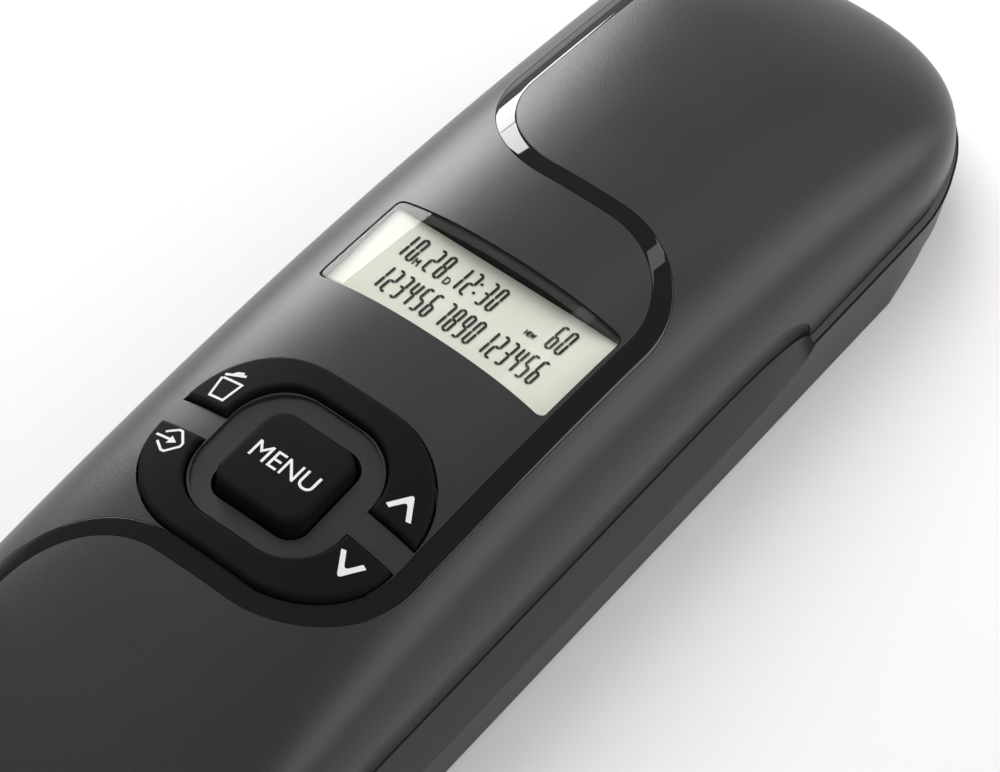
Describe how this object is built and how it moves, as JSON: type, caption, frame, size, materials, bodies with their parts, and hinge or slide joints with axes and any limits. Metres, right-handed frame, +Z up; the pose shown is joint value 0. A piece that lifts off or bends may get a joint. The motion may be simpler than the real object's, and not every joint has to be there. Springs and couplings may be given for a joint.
{
  "type": "corded telephone",
  "caption": "Slim corded desk telephone: an arched handset with display and menu keys on its back lies over a low base with finger scoops.",
  "frame": {"origin": "on the table, under the middle of the telephone", "axes": "+X to the right across the telephone, +Y towards the earpiece end, +Z up"},
  "size_m": [0.062, 0.223, 0.038],
  "materials": {
    "shell": "fine-grained satin",
    "base_shell": "fine-grained satin",
    "band": "polished",
    "lens": "clear",
    "lcd": "display glass",
    "chassis": "matt",
    "board": "coated",
    "keymat": "silicone",
    "key": "satin",
    "dial": "satin",
    "speaker": "plated",
    "mic": "plain",
    "boot": "moulded",
    "jack": "moulded",
    "screw": "zinc plated",
    "hook": "moulded",
    "ringer": "plain",
    "weight": "mill finish",
    "foot": "moulded"
  },
  "bodies": {
    "base": {"base_cover": "base_shell", "base_plate": "base_shell", "base_board": "board", "hook_switch": "hook", "ringer": "ringer", "line_jack": "jack", "base_jack": "jack", "base_weight": "weight", "feet": "foot", "base_screws": "screw"},
    "handset": {"handset_back": "shell", "trim_band": "band", "display_lens": "lens", "display_module": "lcd", "display_frame": "chassis", "rocker_bearings": "chassis", "display_board": "board", "menu_keymat": "keymat", "handset_front": "shell", "dial_keymat": "keymat", "dial_board": "board", "ear_speaker": "speaker", "microphone": "mic", "microphone_boot": "boot", "handset_jack": "jack", "handset_screws": "screw"},
    "hook": {"hook_plunger": "hook"},
    "menu": {"menu_key": "key"},
    "upper_menu": {"upper_menu_key": "key"},
    "lower_menu": {"lower_menu_key": "key"},
    "key_1_cap": {"key_1": "dial"},
    "key_2_cap": {"key_2": "dial"},
    "key_3_cap": {"key_3": "dial"},
    "key_4_cap": {"key_4": "dial"},
    "key_5_cap": {"key_5": "dial"},
    "key_6_cap": {"key_6": "dial"},
    "key_7_cap": {"key_7": "dial"},
    "key_8_cap": {"key_8": "dial"},
    "key_9_cap": {"key_9": "dial"},
    "key_star_cap": {"key_star": "dial"},
    "key_0_cap": {"key_0": "dial"},
    "key_hash_cap": {"key_hash": "dial"},
    "flash_key_cap": {"flash_key": "dial"},
    "mute_key_cap": {"mute_key": "dial"},
    "redial_key_cap": {"redial_key": "dial"}
  },
  "joints": [
    {"name": "handset_lift", "type": "slide", "parent": "base", "child": "handset", "axis": [0, 0, 1], "range_m": [0, 0.06]},
    {"name": "hook_slide", "type": "slide", "parent": "base", "child": "hook", "axis": [0, 0, 1], "range_m": [0, 0.0024]},
    {"name": "menu_press", "type": "slide", "parent": "handset", "child": "menu", "axis": [0, 0, -1], "range_m": [0, 0.001], "stiffness_N_per_m": 400, "springref_m": -0.0005},
    {"name": "upper_menu_rock", "type": "hinge", "parent": "handset", "child": "upper_menu", "pos_m": [0, -0.00745, 0.0296], "axis": [0, 1, 0], "range_deg": [-2, 2], "stiffness_Nm_per_rad": 0.8},
    {"name": "lower_menu_rock", "type": "hinge", "parent": "handset", "child": "lower_menu", "pos_m": [0, -0.03435, 0.0296], "axis": [0, 1, 0], "range_deg": [-2, 2], "stiffness_Nm_per_rad": 0.8},
    {"name": "key_1_press", "type": "slide", "parent": "handset", "child": "key_1_cap", "axis": [0, 0, 1], "range_m": [0, 0.0012], "stiffness_N_per_m": 400, "springref_m": -0.0005},
    {"name": "key_2_press", "type": "slide", "parent": "handset", "child": "key_2_cap", "axis": [0, 0, 1], "range_m": [0, 0.0012], "stiffness_N_per_m": 400, "springref_m": -0.0005},
    {"name": "key_3_press", "type": "slide", "parent": "handset", "child": "key_3_cap", "axis": [0, 0, 1], "range_m": [0, 0.0012], "stiffness_N_per_m": 400, "springref_m": -0.0005},
    {"name": "key_4_press", "type": "slide", "parent": "handset", "child": "key_4_cap", "axis": [0, 0, 1], "range_m": [0, 0.0012], "stiffness_N_per_m": 400, "springref_m": -0.0005},
    {"name": "key_5_press", "type": "slide", "parent": "handset", "child": "key_5_cap", "axis": [0, 0, 1], "range_m": [0, 0.0012], "stiffness_N_per_m": 400, "springref_m": -0.0005},
    {"name": "key_6_press", "type": "slide", "parent": "handset", "child": "key_6_cap", "axis": [0, 0, 1], "range_m": [0, 0.0012], "stiffness_N_per_m": 400, "springref_m": -0.0005},
    {"name": "key_7_press", "type": "slide", "parent": "handset", "child": "key_7_cap", "axis": [0, 0, 1], "range_m": [0, 0.0012], "stiffness_N_per_m": 400, "springref_m": -0.0005},
    {"name": "key_8_press", "type": "slide", "parent": "handset", "child": "key_8_cap", "axis": [0, 0, 1], "range_m": [0, 0.0012], "stiffness_N_per_m": 400, "springref_m": -0.0005},
    {"name": "key_9_press", "type": "slide", "parent": "handset", "child": "key_9_cap", "axis": [0, 0, 1], "range_m": [0, 0.0012], "stiffness_N_per_m": 400, "springref_m": -0.0005},
    {"name": "key_star_press", "type": "slide", "parent": "handset", "child": "key_star_cap", "axis": [0, 0, 1], "range_m": [0, 0.0012], "stiffness_N_per_m": 400, "springref_m": -0.0005},
    {"name": "key_0_press", "type": "slide", "parent": "handset", "child": "key_0_cap", "axis": [0, 0, 1], "range_m": [0, 0.0012], "stiffness_N_per_m": 400, "springref_m": -0.0005},
    {"name": "key_hash_press", "type": "slide", "parent": "handset", "child": "key_hash_cap", "axis": [0, 0, 1], "range_m": [0, 0.0012], "stiffness_N_per_m": 400, "springref_m": -0.0005},
    {"name": "flash_key_press", "type": "slide", "parent": "handset", "child": "flash_key_cap", "axis": [0, 0, 1], "range_m": [0, 0.0012], "stiffness_N_per_m": 400, "springref_m": -0.0005},
    {"name": "mute_key_press", "type": "slide", "parent": "handset", "child": "mute_key_cap", "axis": [0, 0, 1], "range_m": [0, 0.0012], "stiffness_N_per_m": 400, "springref_m": -0.0005},
    {"name": "redial_key_press", "type": "slide", "parent": "handset", "child": "redial_key_cap", "axis": [0, 0, 1], "range_m": [0, 0.0012], "stiffness_N_per_m": 400, "springref_m": -0.0005}
  ],
  "couplings": [
    {"joint": "hook_slide", "follows": "handset_lift", "ratio": 0.04}
  ]
}
